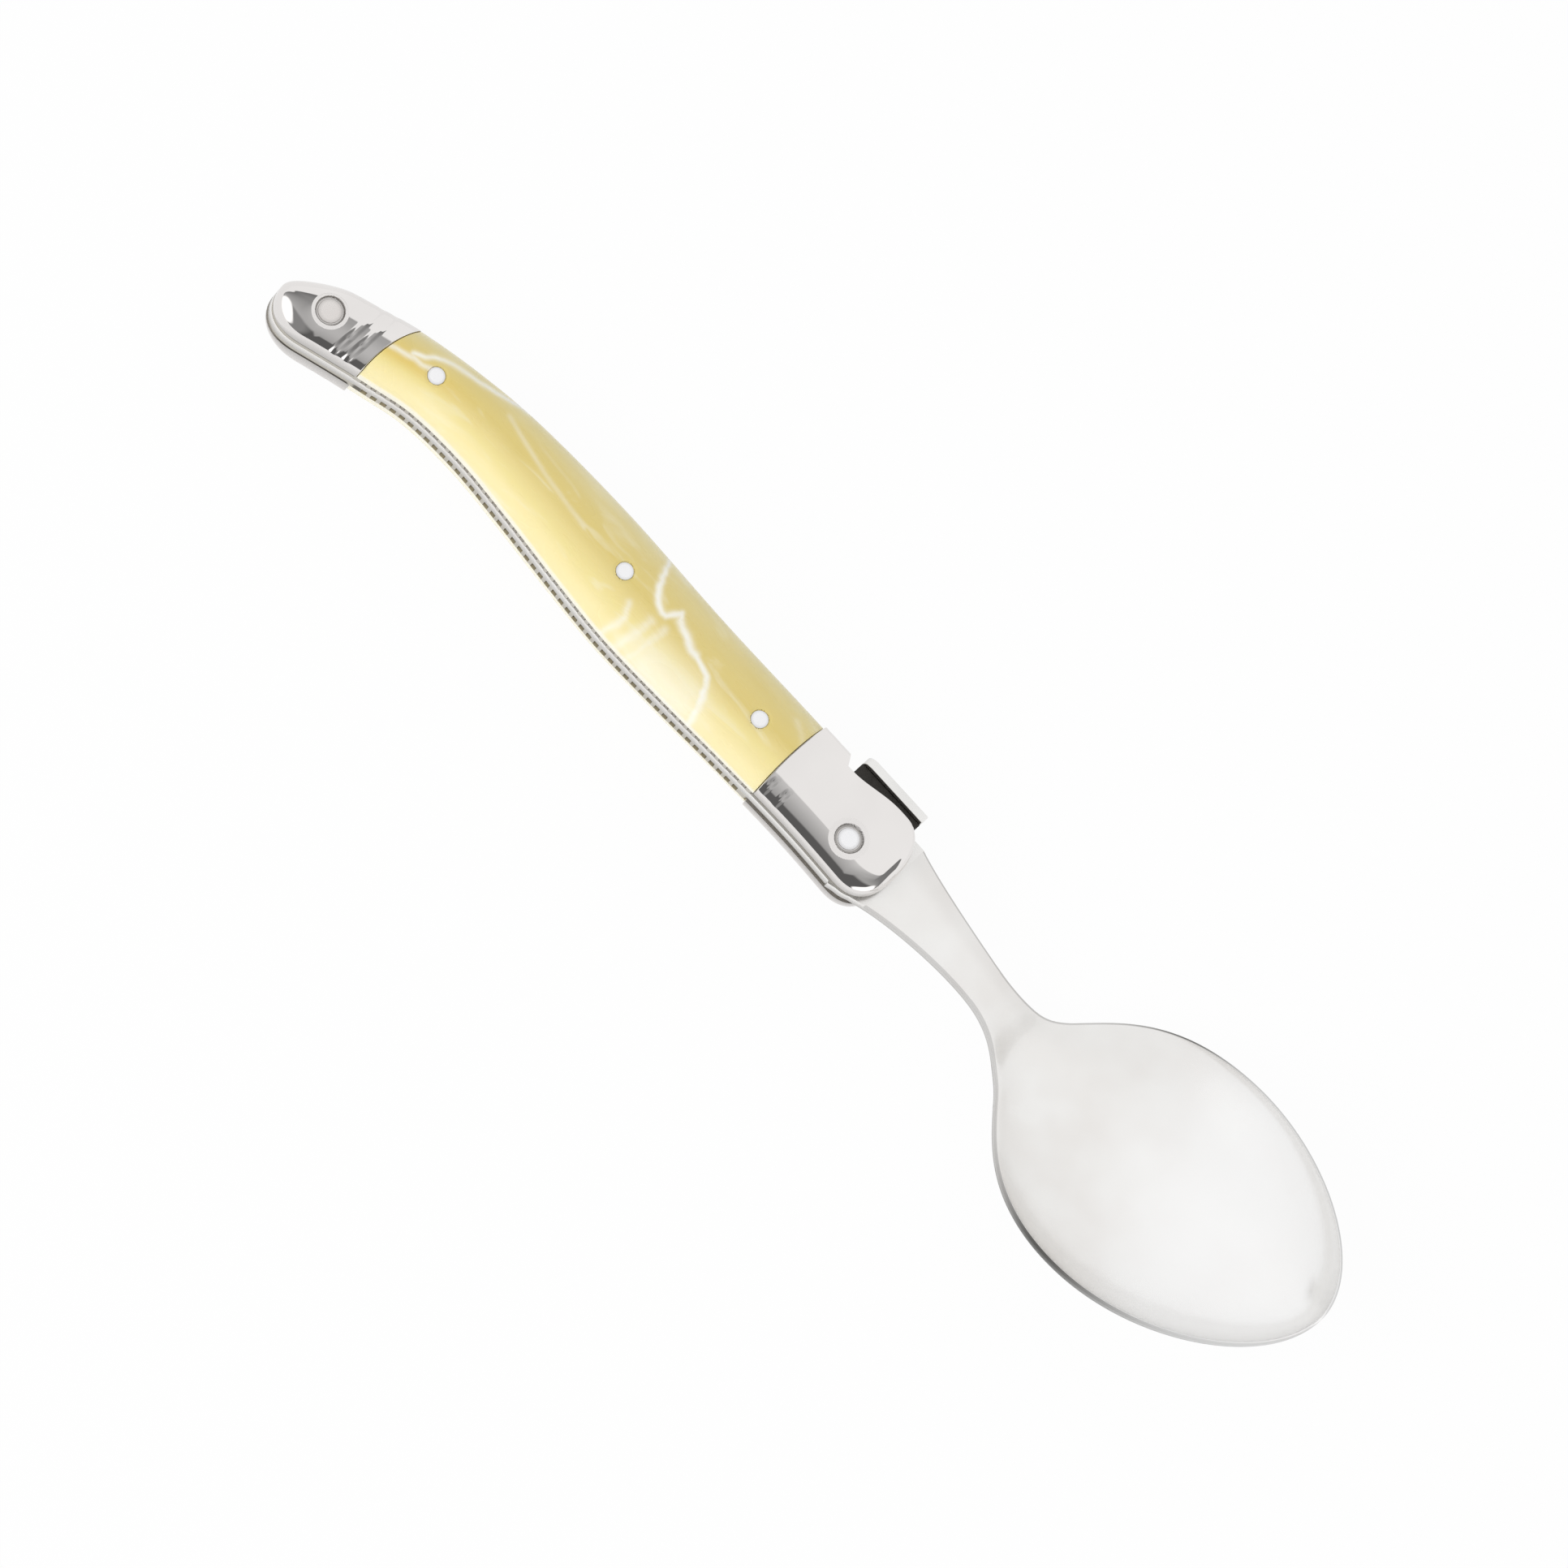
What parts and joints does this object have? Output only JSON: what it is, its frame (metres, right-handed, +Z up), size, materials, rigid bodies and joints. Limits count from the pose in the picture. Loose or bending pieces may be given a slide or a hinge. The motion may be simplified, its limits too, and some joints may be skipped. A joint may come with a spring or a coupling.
{
  "type": "coffee spoon with a riveted handle",
  "caption": "Coffee spoon: a stamped steel bowl, neck and full tang, with pale marbled scales, polished bolsters and a small bare fly on the back.",
  "frame": {"origin": "middle of the spoon's outline seen from above, at the height of the lowest point of the bowl", "axes": "+X along the spoon from the handle to the tip of the bowl, +Y to the side of the fly, +Z up out of the bowl"},
  "size_m": [0.16, 0.0318, 0.0148],
  "materials": {
    "satin_steel": "finely polished pressed steel",
    "polished_steel": "polished stainless steel with soft reflections",
    "liner_steel": "filed liner edges, greyer than the plate",
    "rivet_steel": "peened and polished rivet ends",
    "dark_steel": "dark blued block, satin",
    "marbled_grip": "polished pearlised resin, yellow with white veins"
  },
  "bodies": {
    "root": {"spoon_bowl_and_tang": "satin_steel", "liner_near": "liner_steel", "liner_far": "liner_steel", "scale_near": "marbled_grip", "scale_far": "marbled_grip", "front_bolster_near": "polished_steel", "front_bolster_far": "polished_steel", "rear_bolster_near": "polished_steel", "rear_bolster_far": "polished_steel", "front_rivet": "rivet_steel", "rear_rivet": "rivet_steel", "scale_pin_rear": "rivet_steel", "scale_pin_middle": "rivet_steel", "scale_pin_front": "rivet_steel", "fly_plate": "polished_steel", "fly_block": "dark_steel"}
  },
  "joints": []
}
